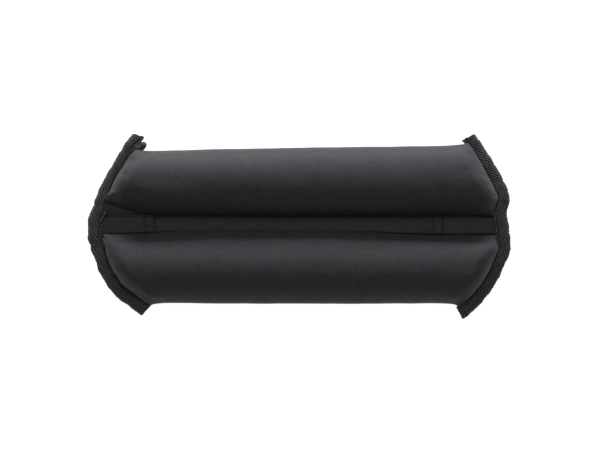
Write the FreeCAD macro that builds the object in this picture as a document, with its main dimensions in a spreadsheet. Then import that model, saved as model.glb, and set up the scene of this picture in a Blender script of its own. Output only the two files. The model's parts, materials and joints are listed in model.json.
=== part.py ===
import FreeCAD, Part
import math
import os
import re

import Sketcher
from FreeCAD import Placement, Rotation, Vector

# Ankle cuff weight, laid flat on its strap side. Millimetres, +Z up, +X along the cuff.
# Origin: middle of the cuff, on the surface that it lies on.
# Two sand-filled neoprene tubes run side by side, sewn to a flat centre band. A webbing strap
# is sewn under the band: its tail leaves the right end and is folded back under the cuff, and a
# folded tab holds the ring under the left end. Tape binds both ends.
# The cuff wraps round a leg by bending about four lines across it, level with the strap, so
# every layer that crosses those lines is made in five lengths.

SIZES = [
    ("OverallLength", 310.0, "over both end bindings, along the middle"),
    ("EndSpan", 62.0, "from each end of the cuff to the nearest bend line"),
    ("CornerSetback", 29.5, "from the end of the cuff back to the binding's outer corners"),
    ("CornerOverhang", 10.0, "the same corners, out past the tubes"),
    ("KinkWidth", 36.0, "straight middle stretch of each binding"),
    ("KinkInnerRadius", 3.5, "inside bend of the binding beside that stretch"),
    ("TubeWidth", 49.0, "each filled tube, across the cuff"),
    ("TubeHeight", 42.0, "each filled tube, from the surface up"),
    ("ShoulderSetback", 19.0, "from the sewn nose of a tube back to its full height"),
    ("ClosingSetback", 6.0, "from the sewn nose back to where the tube is still partly open"),
    ("ClosingHeight", 29.0, "height of the tube there"),
    ("NoseSpread", 3.0, "extra width of a tube where it is sewn flat"),
    ("BandLap", 2.0, "edge of the strap that each tube bulges over"),
    ("BandThickness", 4.0, "band, and the flattened ends inside the bindings"),
    ("BendHeight", 14.0, "underside of the band, where the strap is sewn"),
    ("CoverWall", 3.0, "neoprene"),
    ("BagWall", 0.6, "coated nylon of the sand bags"),
    ("LayerGap", 0.3, "clearance between cover, bag and sand"),
    ("NeckGap", 1.5, "from a bend line to the nearest sand bag"),
    ("BindingDepth", 10.5, "visible width of the binding tape"),
    ("TapeThickness", 0.9, "binding tape"),
    ("BindingFit", 0.1, "tape to the flattened ends"),
    ("FlangeInset", 3.0, "from the fold of the tape to the cut edge inside it"),
    ("TongueSetback", 1.2, "from the edge of the tape back to where the band thins to enter it"),
    ("StrapWidth", 20.0, "webbing"),
    ("StrapThickness", 1.6, "webbing"),
    ("StrapFit", 0.3, "webbing to its neighbours"),
    ("StitchWidth", 0.6, "seam thread lying on the fabric"),
    ("StitchHeight", 0.3, "seam thread lying on the fabric"),
    ("BarWidth", 0.9, "cross stitch"),
    ("BarSpacing", 7.0, "between the two cross stitches of a pair"),
    ("TabBarSetback", 42.0, "from the left end to its outer cross stitch"),
    ("TailBarSetback", 49.5, "from the right end to its outer cross stitch"),
    ("FoldSetback", 14.0, "from the right end to the fold of the strap"),
    ("TailGap", 8.2, "from the tip of the tail to the ring's tab"),
    ("TipLength", 15.0, "folded and sewn end of the tail"),
    ("TipTaper", 10.5, "pointed part of that end"),
    ("TipThickness", 2.4, "folded and sewn end of the tail"),
    ("HookLength", 55.0, "hook tape on the tail"),
    ("HookWidth", 14.0, "hook tape on the tail"),
    ("HookThickness", 1.0, "hook tape on the tail"),
    ("HookSetback", 3.2, "from the sewn end of the tail to the hook tape"),
    ("RingSetback", 16.0, "from the left end to the ring's inner bar"),
    ("RingWire", 3.4, "diameter of the ring's wire"),
    ("RingWindow", 9.0, "inside the ring, along the cuff"),
    ("RingCorner", 2.4, "bend of the ring's wire, on its centre line"),
    ("RingSlack", 2.0, "inside the ring, beyond the width of the strap"),
    ("TabFit", 0.3, "webbing tab to the ring's bar"),
    ("TabLift", 0.3, "from the surface to the webbing round the ring's bar"),
    ("TabBend", 6.0, "bend of the tab's legs beside the cross stitches"),
]

doc = FreeCAD.newDocument("AnkleCuffWeight")
sheet = doc.addObject("Spreadsheet::Sheet", "Sizes")
for row, (alias, value, meaning) in enumerate(SIZES, start=1):
    sheet.set(f"A{row}", alias)
    sheet.set(f"B{row}", str(value))
    sheet.set(f"C{row}", meaning)
    sheet.setAlias(f"B{row}", alias)
doc.recompute()


def size(text):
    """An expression, with each alias in it named as a cell of the sheet."""
    return "(" + re.sub(r"(?<![.\w])([A-Z]\w+)(?![.\w])", r"Sizes.\1", text) + ")"


def negative(expression):
    return f"(-{expression})"


# The outline of an end, the bend lines and the tubes
END_X = size("OverallLength / 2")
OUTER_BEND_X = size("OverallLength / 2 - EndSpan")
INNER_BEND_X = size(f"{OUTER_BEND_X} / 3")
MID_SPAN = size(f"{OUTER_BEND_X} - {INNER_BEND_X}")
TUBE_INNER_Y = size("StrapWidth / 2 - BandLap")
TUBE_Y = size(f"{TUBE_INNER_Y} + TubeWidth / 2")
CORNER_X = size("OverallLength / 2 - CornerSetback")
CORNER_Y = size(f"{TUBE_INNER_Y} + TubeWidth + CornerOverhang")
KINK_Y = size("KinkWidth / 2")
KINK_RADIUS = size("KinkInnerRadius + BindingDepth")
END_ANGLE = size(f"atan(CornerSetback / ({CORNER_Y} - {KINK_Y}))")

# The band, the flattened ends beside it and the strap below it
BAND_TOP = size("BendHeight + BandThickness")
CHANNEL_Y = size("StrapWidth / 2 + StrapFit")
STRAP_Z = size("BendHeight - StrapThickness")
BINDING_LOW = size("BendHeight + StitchHeight + StrapFit")
FLANGE_Z = size(f"{BINDING_LOW} + TapeThickness + BindingFit")
FLANGE_TOP = size(f"{FLANGE_Z} + BandThickness")
BINDING_HIGH = size(f"{FLANGE_TOP} + BindingFit + TapeThickness")
NOSE_WIDTH = size("TubeWidth + NoseSpread")
NOSE_Y = size(f"{TUBE_INNER_Y} + {NOSE_WIDTH} / 2")
NOSE_OUTER_Y = size(f"{TUBE_INNER_Y} + {NOSE_WIDTH}")
NOSE_INNER_X = size(f"{END_X} - BindingDepth - BindingFit")
NOSE_OUTER_X = size(f"{NOSE_INNER_X} - ({NOSE_OUTER_Y} - {KINK_Y}) * tan({END_ANGLE})"
                    f" + BindingDepth - BindingDepth / cos({END_ANGLE})")
NOSE_X = size(f"({NOSE_INNER_X} + {NOSE_OUTER_X}) / 2")
NOSE_ANGLE = size(f"atan(({NOSE_INNER_X} - {NOSE_OUTER_X}) / {NOSE_WIDTH})")
NOSE_Z = size(f"{FLANGE_Z} + BandThickness / 2")
TONGUE_X = size(f"{END_X} - BindingDepth - TongueSetback")

# The strap's fold and tail, the ring and its tab
FOLD_X = size("OverallLength / 2 - FoldSetback")
FOLD_RADIUS = size("(StrapThickness + StitchHeight + StrapFit + HookThickness) / 2")
FOLD_Z = size(f"{STRAP_Z} + StrapThickness / 2 - {FOLD_RADIUS}")
TAIL_Z = size(f"{FOLD_Z} - {FOLD_RADIUS} - StrapThickness / 2")
TAIL_TOP = size(f"{TAIL_Z} + StrapThickness")
TAB_BAR_X = size("OverallLength / 2 - TabBarSetback")
TAIL_BAR_X = size("OverallLength / 2 - TailBarSetback")
TAB_START_X = size(f"{TAB_BAR_X} - BarSpacing - 2 * BarWidth")
TAB_LOWER_Z = size(f"{STRAP_Z} - StrapFit - StrapThickness")
TAIL_END_X = size(f"TailGap + TipLength - {TAB_START_X}")
TAIL_LENGTH = size(f"{FOLD_X} - {TAIL_END_X}")
RING_X = size("OverallLength / 2 - RingSetback")
RING_FAR_X = size(f"{RING_X} + RingWindow + RingWire")
RING_BAR_Y = size("(StrapWidth + RingSlack + RingWire) / 2")
TAB_RADIUS = size("RingWire / 2 + TabFit + StrapThickness / 2")
RING_Z = size(f"TabLift + StrapThickness / 2 + {TAB_RADIUS}")

MAKERS = {}


def node(maker, name):
    """Names the piece that a finished object stands for."""
    maker.Label = name
    MAKERS[name] = maker
    return maker


def new_body(name):
    return doc.addObject("PartDesign::Body", name)


def origin_plane(body, role):
    return next(f for f in body.Origin.OriginFeatures if f.Role == role)


def new_sketch(body, role, offset=("0", "0", "0"), turn="0"):
    """A sketch on one of the body's own planes, moved, and turned about the sketch's Y axis."""
    sketch = body.newObject("Sketcher::SketchObject", f"{body.Name}_sketch")
    sketch.AttachmentSupport = [(origin_plane(body, role), "")]
    sketch.MapMode = "FlatFace"
    sketch.AttachmentOffset = Placement(Vector(0, 0, 0), Rotation(Vector(0, 1, 0), 1))
    for axis, expression in zip("xyz", offset):
        sketch.setExpression(f"AttachmentOffset.Base.{axis}", expression)
    sketch.setExpression("AttachmentOffset.Rotation.Angle", turn)
    return sketch


def number(expression):
    """The present value of an expression, for the first guess of a sketch."""
    return float(sheet.evalExpression(expression.replace("Sizes.", "")))


def point(x, y):
    return Vector(number(x), number(y), 0)


def bind(sketch, constraint, expression):
    index = sketch.addConstraint(constraint)
    sketch.setExpression(f"Constraints[{index}]", expression)


def bind_radius(sketch, arc, expression):
    bind(sketch, Sketcher.Constraint("Radius", arc, number(expression)), expression)


def pin(sketch, geometry, end, x, y):
    """Ties one point of a line or arc to the sketch's origin."""
    for kind, value, axis in (("DistanceX", x, -2), ("DistanceY", y, -1)):
        if value == "0":
            sketch.addConstraint(Sketcher.Constraint("PointOnObject", geometry, end, axis))
        else:
            bind(sketch, Sketcher.Constraint(kind, -1, 1, geometry, end, number(value)), value)


def polygon(sketch, points):
    corners = [point(x, y) for x, y in points]
    count = len(corners)
    for k in range(count):
        sketch.addGeometry(Part.LineSegment(corners[k], corners[(k + 1) % count]))
    for k in range(count):
        sketch.addConstraint(Sketcher.Constraint("Coincident", k, 2, (k + 1) % count, 1))
    for k, (x, y) in enumerate(points):
        pin(sketch, k, 1, x, y)


def rounded_rectangle(sketch, width, height, radius):
    """Four lines and four arcs about the sketch's origin."""
    half_w, half_h, r = number(width) / 2, number(height) / 2, number(radius)
    sides = [
        ((r - half_w, -half_h), (half_w - r, -half_h)),
        ((half_w, r - half_h), (half_w, half_h - r)),
        ((half_w - r, half_h), (r - half_w, half_h)),
        ((-half_w, half_h - r), (-half_w, r - half_h)),
    ]
    centres = [
        (half_w - r, r - half_h),
        (half_w - r, half_h - r),
        (r - half_w, half_h - r),
        (r - half_w, r - half_h),
    ]
    for start, end in sides:
        sketch.addGeometry(Part.LineSegment(Vector(*start, 0), Vector(*end, 0)))
    for k, centre in enumerate(centres):
        circle = Part.Circle(Vector(*centre, 0), Vector(0, 0, 1), r)
        first = math.radians(90 * (k - 1))
        sketch.addGeometry(Part.ArcOfCircle(circle, first, first + math.pi / 2))
    for k in range(4):
        sketch.addConstraint(Sketcher.Constraint("Tangent", k, 2, 4 + k, 1))
        sketch.addConstraint(Sketcher.Constraint("Tangent", 4 + k, 2, (k + 1) % 4, 1))
    for kind, line in (("Horizontal", 0), ("Horizontal", 2), ("Vertical", 1), ("Vertical", 3)):
        sketch.addConstraint(Sketcher.Constraint(kind, line))
    for arc in (5, 6, 7):
        sketch.addConstraint(Sketcher.Constraint("Equal", 4, arc))
    bind(sketch, Sketcher.Constraint("DistanceX", -1, 1, 1, 1, half_w), f"{width} / 2")
    bind(sketch, Sketcher.Constraint("DistanceX", 3, 1, -1, 1, half_w), f"{width} / 2")
    bind(sketch, Sketcher.Constraint("DistanceY", -1, 1, 2, 1, half_h), f"{height} / 2")
    bind(sketch, Sketcher.Constraint("DistanceY", 0, 1, -1, 1, half_h), f"{height} / 2")
    bind_radius(sketch, 4, radius)


def pad(body, sketch, length, kind="PartDesign::Pad", midplane=False):
    """A pad, or a pocket that runs the same way."""
    feature = body.newObject(kind, f"{body.Name}_pad")
    feature.Profile = sketch
    feature.setExpression("Length", length)
    feature.Reversed = kind == "PartDesign::Pocket"
    if midplane:
        feature.SideType = "Symmetric"
    return feature


def loft(body, sketches, kind="PartDesign::AdditiveLoft"):
    feature = body.newObject(kind, f"{body.Name}_loft")
    feature.Profile = sketches[0]
    feature.Sections = sketches[1:]
    feature.Ruled = True
    return feature


def sweep(body, profile, path):
    feature = body.newObject("PartDesign::AdditivePipe", f"{body.Name}_pipe")
    feature.Profile = profile
    feature.Spine = (path, [])
    return feature


def mirror(body, features):
    """The same features on the other side of the cuff's middle line."""
    doc.recompute()
    copy = body.newObject("PartDesign::Mirrored", f"{body.Name}_mirror")
    copy.Originals = features
    copy.MirrorPlane = (origin_plane(body, "XZ_Plane"), [""])
    body.Tip = copy


def box(name, length, width, height, corner):
    """A block of cloth, tape or thread, by its lowest corner."""
    block = doc.addObject("Part::Box", name)
    for side, value in (("Length", length), ("Width", width), ("Height", height)):
        block.setExpression(side, value)
    for axis, value in zip("xyz", corner):
        block.setExpression(f"Placement.Base.{axis}", value)
    return block


def centred_box(name, length, width, height, x, z):
    """The same, with its middle on the cuff's middle line."""
    return box(name, length, width, height, (x, f"(-{width} / 2)", z))


def group(name, members):
    """Separate solids that share one node."""
    compound = doc.addObject("Part::Compound", name)
    compound.Links = members
    return node(compound, name)


def left_copy(source, name):
    """The left end's copy of a piece of the right end."""
    copy = doc.addObject("Part::Mirroring", name)
    copy.Source = source
    copy.Normal = Vector(1, 0, 0)
    return node(copy, name)


# The filled tubes. A tube's cover, its cavity, its bag and its sand have the same section, each
# one inset by what lies around it.
COVER = "0"
CAVITY = size("CoverWall")
BAG = size("CoverWall + LayerGap")
BAG_INSIDE = size("CoverWall + LayerGap + BagWall")
SAND = size("CoverWall + 2 * LayerGap + BagWall")
CORNER_SHARE = 0.976  # of the largest radius that fits, so that each side keeps a short flat


def tube_section(body, x, y, z, width, height, inset, turn="0"):
    sketch = new_sketch(body, "YZ_Plane", (y, z, x), turn)
    inner_width = f"({width} - 2 * {inset})"
    inner_height = f"({height} - 2 * {inset})"
    radius = f"(min({inner_width}; {inner_height}) / 2 * {CORNER_SHARE})"
    rounded_rectangle(sketch, inner_width, inner_height, radius)
    return sketch


def full_section(body, x, inset):
    middle_z = size("TubeHeight / 2")
    return tube_section(body, x, TUBE_Y, middle_z, size("TubeWidth"), size("TubeHeight"), inset)


def end_sections(body, start, inset):
    """From the full tube at a bend line, slanting round to the shoulder and to the closing nose."""
    shoulder_y = size(f"({TUBE_Y} + {NOSE_Y}) / 2")
    shoulder_width = size(f"(TubeWidth + {NOSE_WIDTH}) / 2")
    shoulder = tube_section(body, size(f"{NOSE_X} - ShoulderSetback"), shoulder_y,
                            size("TubeHeight / 2"), shoulder_width, size("TubeHeight"),
                            inset, size(f"{NOSE_ANGLE} * 2 / 3"))
    closing_z = size(f"(TubeHeight / 2 + {NOSE_Z}) / 2")
    closing = tube_section(body, size(f"{NOSE_X} - ClosingSetback - {inset}"), NOSE_Y,
                           closing_z, size(f"{NOSE_WIDTH} / cos({NOSE_ANGLE})"),
                           size("ClosingHeight"), inset, NOSE_ANGLE)
    return [full_section(body, start, inset), shoulder, closing]


def cut_channel(body, start, length, top=BAND_TOP):
    """Room between the tubes for the centre band and the strap below it."""
    sketch = new_sketch(body, "YZ_Plane", ("0", "0", start))
    side = negative(CHANNEL_Y)
    polygon(sketch, [(side, "0"), (CHANNEL_Y, "0"), (CHANNEL_Y, top), (side, top)])
    pad(body, sketch, length, "PartDesign::Pocket")


def tube_covers(name, start, length):
    body = new_body(name)
    mirror(body, [pad(body, full_section(body, start, COVER), length)])
    mirror(body, [pad(body, full_section(body, start, CAVITY), length, "PartDesign::Pocket")])
    cut_channel(body, start, length)
    return node(body, name)


def flange_corners():
    """The flattened end of one tube: a strip that follows the binding from the band to its corner."""
    edge_x = size(f"{END_X} - FlangeInset")
    kink_y = size(f"{KINK_Y} - FlangeInset * tan({END_ANGLE} / 2)")
    tip_y = size(f"{CORNER_Y} - FlangeInset")
    tip_x = size(f"{END_X} - ({tip_y} - {KINK_Y}) * tan({END_ANGLE}) - FlangeInset / cos({END_ANGLE})")
    inner_x = size(f"{tip_x} - BindingDepth * cos({END_ANGLE})")
    inner_y = size(f"{tip_y} - BindingDepth * sin({END_ANGLE})")
    return [
        (size(f"{NOSE_INNER_X} - FlangeInset"), CHANNEL_Y),
        (edge_x, CHANNEL_Y),
        (edge_x, kink_y),
        (tip_x, tip_y),
        (inner_x, inner_y),
    ]


def tube_covers_end(name):
    body = new_body(name)
    sewn_nose = tube_section(body, NOSE_X, NOSE_Y, NOSE_Z, size(f"{NOSE_WIDTH} / cos({NOSE_ANGLE})"),
                             size("BandThickness"), COVER, NOSE_ANGLE)
    mirror(body, [loft(body, end_sections(body, OUTER_BEND_X, COVER) + [sewn_nose])])
    flange = new_sketch(body, "XY_Plane", ("0", "0", FLANGE_Z))
    polygon(flange, flange_corners())
    mirror(body, [pad(body, flange, size("BandThickness"))])
    cavity = end_sections(body, OUTER_BEND_X, CAVITY)
    mirror(body, [loft(body, cavity, "PartDesign::SubtractiveLoft")])
    cut_channel(body, OUTER_BEND_X, size("EndSpan"))
    cut_channel(body, TONGUE_X, size(f"{END_X} - {TONGUE_X}"), FLANGE_TOP)
    return node(body, name)


def sand_bags(name, start, length):
    body = new_body(name)
    bag_start = size(f"{start} + NeckGap")
    bag_length = size(f"{length} - 2 * NeckGap")
    mirror(body, [pad(body, full_section(body, bag_start, BAG), bag_length)])
    inside = full_section(body, size(f"{bag_start} + BagWall"), BAG_INSIDE)
    mirror(body, [pad(body, inside, size(f"{bag_length} - 2 * BagWall"), "PartDesign::Pocket")])
    return node(body, name)


def sand_bags_end(name):
    body = new_body(name)
    bag_start = size(f"{OUTER_BEND_X} + NeckGap")
    mirror(body, [loft(body, end_sections(body, bag_start, BAG))])
    inside = end_sections(body, size(f"{bag_start} + BagWall"), BAG_INSIDE)
    mirror(body, [loft(body, inside, "PartDesign::SubtractiveLoft")])
    return node(body, name)


SAND_SETBACK = size("NeckGap + BagWall + LayerGap")


def iron_sand(name, start, length):
    body = new_body(name)
    section = full_section(body, size(f"{start} + {SAND_SETBACK}"), SAND)
    mirror(body, [pad(body, section, size(f"{length} - 2 * {SAND_SETBACK}"))])
    return node(body, name)


def iron_sand_end(name):
    body = new_body(name)
    start = size(f"{OUTER_BEND_X} + {SAND_SETBACK}")
    mirror(body, [loft(body, end_sections(body, start, SAND))])
    return node(body, name)


# The centre band, the strap under it and the seams that hold both
def centre_band(name, start, length):
    width = size(f"2 * {CHANNEL_Y}")
    block = centred_box(name, length, width, size("BandThickness"), start, size("BendHeight"))
    return node(block, name)


def centre_band_end(name):
    """The band, with a tongue that goes into the binding."""
    body = new_body(name)
    profile = new_sketch(body, "XZ_Plane")
    tongue_end = size(f"{END_X} - FlangeInset")
    bottom = size("BendHeight")
    polygon(profile, [
        (OUTER_BEND_X, bottom), (TONGUE_X, bottom), (TONGUE_X, FLANGE_Z), (tongue_end, FLANGE_Z),
        (tongue_end, FLANGE_TOP), (TONGUE_X, FLANGE_TOP), (TONGUE_X, BAND_TOP),
        (OUTER_BEND_X, BAND_TOP),
    ])
    pad(body, profile, size(f"2 * {CHANNEL_Y}"), midplane=True)
    return node(body, name)


def strap(name, start, length):
    block = centred_box(name, length, size("StrapWidth"), size("StrapThickness"), start, STRAP_Z)
    return node(block, name)


def seam_stitches(name, start, length, strap_start, strap_length):
    """Two rows of thread on the band and two under the strap."""
    wide, high = size("StitchWidth"), size("StitchHeight")
    row_y = size(f"{TUBE_INNER_Y} - 3 / 2 * StitchWidth")
    below = size(f"{STRAP_Z} - StitchHeight")
    rows = []
    for side in (row_y, size(f"-{row_y} - StitchWidth")):
        rows.append(box(f"{name}_row", length, wide, high, (start, side, BAND_TOP)))
        rows.append(box(f"{name}_row", strap_length, wide, high, (strap_start, side, below)))
    return group(name, rows)


def cross_stitches(name, sign, outer_x, lowest_z):
    """A pair of bars through the band and the webbing, on both faces."""
    wide, high = size("BarWidth"), size("StitchHeight")
    long = size(f"2 * {TUBE_INNER_Y} - 4 * StitchWidth")
    below = size(f"{lowest_z} - StitchHeight")
    bars = []
    for x in (outer_x, size(f"{outer_x} - BarSpacing")):
        for z in (BAND_TOP, below):
            corner_x = size(f"{sign} * {x} - BarWidth / 2")
            bars.append(centred_box(f"{name}_bar", wide, long, high, corner_x, z))
    return group(name, bars)


# The end bindings: one path round half of an end, and its mirror image
def binding_path(body):
    """Straight across the middle, round the kink and out to the corner."""
    path = new_sketch(body, "XY_Plane", ("0", "0", NOSE_Z))
    angle = math.radians(number(END_ANGLE))
    radius = number(KINK_RADIUS)
    kink, corner = point(END_X, KINK_Y), point(CORNER_X, CORNER_Y)
    setback = radius * math.tan(angle / 2)
    bend_start = kink - Vector(0, setback, 0)
    bend_end = kink + (corner - kink).normalize() * setback
    circle = Part.Circle(bend_start - Vector(radius, 0, 0), Vector(0, 0, 1), radius)
    path.addGeometry(Part.LineSegment(point(END_X, "0"), bend_start))
    path.addGeometry(Part.ArcOfCircle(circle, 0, angle))
    path.addGeometry(Part.LineSegment(bend_end, corner))
    path.addConstraint(Sketcher.Constraint("Tangent", 0, 2, 1, 1))
    path.addConstraint(Sketcher.Constraint("Tangent", 1, 2, 2, 1))
    path.addConstraint(Sketcher.Constraint("Vertical", 0))
    pin(path, 0, 1, END_X, "0")
    pin(path, 2, 2, CORNER_X, CORNER_Y)
    bind_radius(path, 1, KINK_RADIUS)
    straight = size(f"{KINK_Y} - {KINK_RADIUS} * tan({END_ANGLE} / 2)")
    bind(path, Sketcher.Constraint("DistanceY", -1, 1, 0, 2, number(straight)), straight)
    return path


def swept_round_end(name, profiles):
    """Each profile, drawn in the XZ plane, follows the end's outline."""
    body = new_body(name)
    strips = []
    for corners in profiles:
        profile = new_sketch(body, "XZ_Plane")
        polygon(profile, corners)
        strips.append(sweep(body, profile, binding_path(body)))
        doc.recompute()
    mirror(body, strips)
    return node(body, name)


def end_binding(name):
    """Tape folded round the flattened end: a U lying on its side."""
    open_x = size(f"{END_X} - BindingDepth")
    fold_x = size(f"{END_X} - TapeThickness")
    inside_low = size(f"{FLANGE_Z} - BindingFit")
    inside_high = size(f"{FLANGE_TOP} + BindingFit")
    return swept_round_end(name, [[
        (open_x, BINDING_LOW), (END_X, BINDING_LOW), (END_X, BINDING_HIGH), (open_x, BINDING_HIGH),
        (open_x, inside_high), (fold_x, inside_high), (fold_x, inside_low), (open_x, inside_low),
    ]])


def binding_stitches(name):
    """A row of thread near the edge of the tape, on both of its faces."""
    outer_x = size(f"{END_X} - BindingDepth + 2 * StitchWidth")
    inner_x = size(f"{outer_x} - StitchWidth")
    above = size(f"{BINDING_HIGH} + StitchHeight")
    below = size(f"{BINDING_LOW} - StitchHeight")
    return swept_round_end(name, [
        [(inner_x, BINDING_HIGH), (outer_x, BINDING_HIGH), (outer_x, above), (inner_x, above)],
        [(inner_x, below), (outer_x, below), (outer_x, BINDING_LOW), (inner_x, BINDING_LOW)],
    ])


# The strap's tail, folded back under the cuff
def strap_fold(name):
    """Half a turn of webbing: two arcs about one centre, joined by two short lines."""
    body = new_body(name)
    profile = new_sketch(body, "XZ_Plane")
    outer, inner = size(f"{FOLD_RADIUS} + StrapThickness / 2"), size(f"{FOLD_RADIUS} - StrapThickness / 2")
    centre = point(FOLD_X, FOLD_Z)
    for radius in (outer, inner):
        circle = Part.Circle(centre, Vector(0, 0, 1), number(radius))
        profile.addGeometry(Part.ArcOfCircle(circle, -math.pi / 2, math.pi / 2))
    for sign in (1, -1):
        ends = [centre + Vector(0, sign * number(radius), 0) for radius in (outer, inner)]
        profile.addGeometry(Part.LineSegment(*ends))
    joins = [(0, 2, 2, 1), (1, 2, 2, 2), (0, 1, 3, 1), (1, 1, 3, 2), (0, 3, 1, 3)]
    for join in joins:
        profile.addConstraint(Sketcher.Constraint("Coincident", *join))
    for line in (2, 3):
        profile.addConstraint(Sketcher.Constraint("Vertical", line))
    pin(profile, 0, 3, FOLD_X, FOLD_Z)
    bind_radius(profile, 0, outer)
    bind_radius(profile, 1, inner)
    pad(body, profile, size("StrapWidth"), midplane=True)
    return node(body, name)


def strap_tail(name):
    block = centred_box(name, TAIL_LENGTH, size("StrapWidth"), size("StrapThickness"), TAIL_END_X, TAIL_Z)
    return node(block, name)


def tail_tip(name):
    """The end of the tail, turned over, cut to a point and sewn."""
    body = new_body(name)
    low = size(f"{TAIL_Z} + (StrapThickness - TipThickness) / 2")
    plan = new_sketch(body, "XY_Plane", ("0", "0", low))
    half, point_half = size("StrapWidth / 2"), size("StrapWidth / 4")
    far, shoulder = size(f"{TAIL_END_X} - TipLength"), size(f"{TAIL_END_X} - TipLength + TipTaper")
    polygon(plan, [
        (TAIL_END_X, negative(half)), (TAIL_END_X, half), (shoulder, half),
        (far, point_half), (far, negative(point_half)), (shoulder, negative(half)),
    ])
    pad(body, plan, size("TipThickness"))
    return node(body, name)


def hook_patch(name):
    start = size(f"{TAIL_END_X} + HookSetback")
    block = centred_box(name, size("HookLength"), size("HookWidth"), size("HookThickness"),
                        start, TAIL_TOP)
    return node(block, name)


# The ring under the left end and the webbing tab that holds it
def ring(name):
    body = new_body(name)
    middle_x = size(f"-({RING_X} + {RING_FAR_X}) / 2")
    path = new_sketch(body, "XY_Plane", (middle_x, "0", RING_Z))
    rounded_rectangle(path, size(f"{RING_FAR_X} - {RING_X}"), size(f"2 * {RING_BAR_Y}"),
                      size("RingCorner"))
    wire = new_sketch(body, "XZ_Plane", (negative(RING_FAR_X), RING_Z, "0"))
    wire.addGeometry(Part.Circle(Vector(0, 0, 0), Vector(0, 0, 1), number(size("RingWire / 2"))))
    wire.addConstraint(Sketcher.Constraint("Coincident", 0, 3, -1, 1))
    bind_radius(wire, 0, size("RingWire / 2"))
    sweep(body, wire, path)
    return node(body, name)


def tab_lines(path, start_x, turn_x, bar_x, levels):
    """First guess of the tab's path: out along the lower leg, round the bar and back."""
    bend, radius = number(size("TabBend")), number(TAB_RADIUS)
    low, high = (point(turn_x, z) for z in levels)
    low_start, high_start = (point(start_x, z) for z in levels)
    bar = point(bar_x, RING_Z)
    middle = (low + high) / 2
    slope = math.atan2(middle.y - bar.y, middle.x - bar.x)
    across = Vector(-math.sin(slope), math.cos(slope), 0) * radius
    half_bend = bend * slope / 2
    leg = Vector(math.cos(slope), math.sin(slope), 0) * half_bend
    quarter = math.pi / 2
    upright = Vector(0, 0, 1)

    def bend_at(corner):
        circle = Part.Circle(corner + Vector(half_bend, -bend, 0), upright, bend)
        return Part.ArcOfCircle(circle, quarter, quarter + slope)

    path.addGeometry(Part.LineSegment(low_start, low))
    path.addGeometry(bend_at(low))
    path.addGeometry(Part.LineSegment(low - leg, bar - across))
    path.addGeometry(Part.ArcOfCircle(Part.Circle(bar, upright, radius), quarter + slope,
                                      3 * quarter + slope))
    path.addGeometry(Part.LineSegment(bar + across, high - leg))
    path.addGeometry(bend_at(high))
    path.addGeometry(Part.LineSegment(high, high_start))


def ring_tab(name):
    """Webbing sewn under the band, led down to the ring's bar, round it and back."""
    body = new_body(name)
    path = new_sketch(body, "XZ_Plane")
    start_x, turn_x, bar_x = negative(TAB_START_X), size(f"-{TAB_BAR_X} - BarWidth"), negative(RING_X)
    levels = (size(f"{TAB_LOWER_Z} + StrapThickness / 2"), size(f"{STRAP_Z} + StrapThickness / 2"))
    tab_lines(path, start_x, turn_x, bar_x, levels)
    joins = [(0, 2, 1, 1), (1, 2, 2, 1), (2, 2, 3, 2), (3, 1, 4, 1), (4, 2, 5, 2), (5, 1, 6, 1)]
    for join in joins:
        path.addConstraint(Sketcher.Constraint("Tangent", *join))
    path.addConstraint(Sketcher.Constraint("Horizontal", 0))
    path.addConstraint(Sketcher.Constraint("Horizontal", 6))
    pin(path, 3, 3, bar_x, RING_Z)
    bind_radius(path, 3, TAB_RADIUS)
    bind_radius(path, 1, size("TabBend"))
    bind_radius(path, 5, size("TabBend"))
    pin(path, 0, 1, start_x, levels[0])
    pin(path, 6, 2, start_x, levels[1])
    for line, end in ((0, 2), (6, 1)):
        bind(path, Sketcher.Constraint("DistanceX", -1, 1, line, end, number(turn_x)), turn_x)
    profile = new_sketch(body, "YZ_Plane", ("0", levels[0], start_x))
    wide, thick = size("StrapWidth / 2"), size("StrapThickness / 2")
    polygon(profile, [(negative(wide), negative(thick)), (wide, negative(thick)), (wide, thick),
                      (negative(wide), thick)])
    sweep(body, profile, path)
    return node(body, name)


def build_spans():
    """The three lengths between bend lines."""
    spans = {
        "left_mid": (negative(OUTER_BEND_X), MID_SPAN),
        "centre": (negative(INNER_BEND_X), size(f"2 * {INNER_BEND_X}")),
        "right_mid": (INNER_BEND_X, MID_SPAN),
    }
    for place, (start, length) in spans.items():
        tube_covers(f"tube_covers_{place}", start, length)
        sand_bags(f"sand_bags_{place}", start, length)
        iron_sand(f"iron_sand_{place}", start, length)
        centre_band(f"centre_band_{place}", start, length)
        strap(f"strap_{place}", start, length)
        seam_stitches(f"seam_stitches_{place}", start, length, start, length)


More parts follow.
